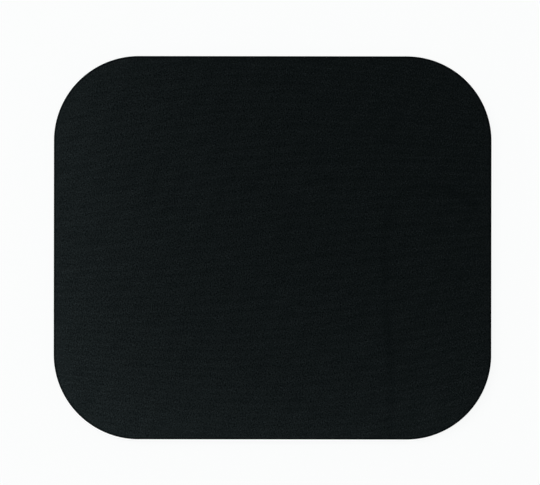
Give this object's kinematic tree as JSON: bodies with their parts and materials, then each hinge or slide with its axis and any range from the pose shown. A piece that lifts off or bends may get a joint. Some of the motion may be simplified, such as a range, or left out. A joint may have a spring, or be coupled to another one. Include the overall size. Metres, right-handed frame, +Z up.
{
  "type": "mouse pad",
  "caption": "Flat rounded mouse pad: black jersey knit face bonded to a foam rubber sheet with a wavy non-slip tread underneath and a plain die-cut edge.",
  "frame": {"origin": "middle of the underside, on the plane that the tread's ribs rest on", "axes": "+X to the user's right, +Y away from the user, +Z up through the cloth face"},
  "size_m": [0.232, 0.2032, 0.005],
  "materials": {
    "foam_rubber": "matt black foam rubber with a moulded skin underneath and open cells on the cut side",
    "hot_melt_glue": "thin dark film of hot-melt glue, satin",
    "jersey_knit": "fine black polyester jersey knit, matt with a faint cool sheen"
  },
  "bodies": {
    "root": {"rubber_base": "foam_rubber", "adhesive_film": "hot_melt_glue", "knit_face": "jersey_knit"}
  },
  "joints": []
}
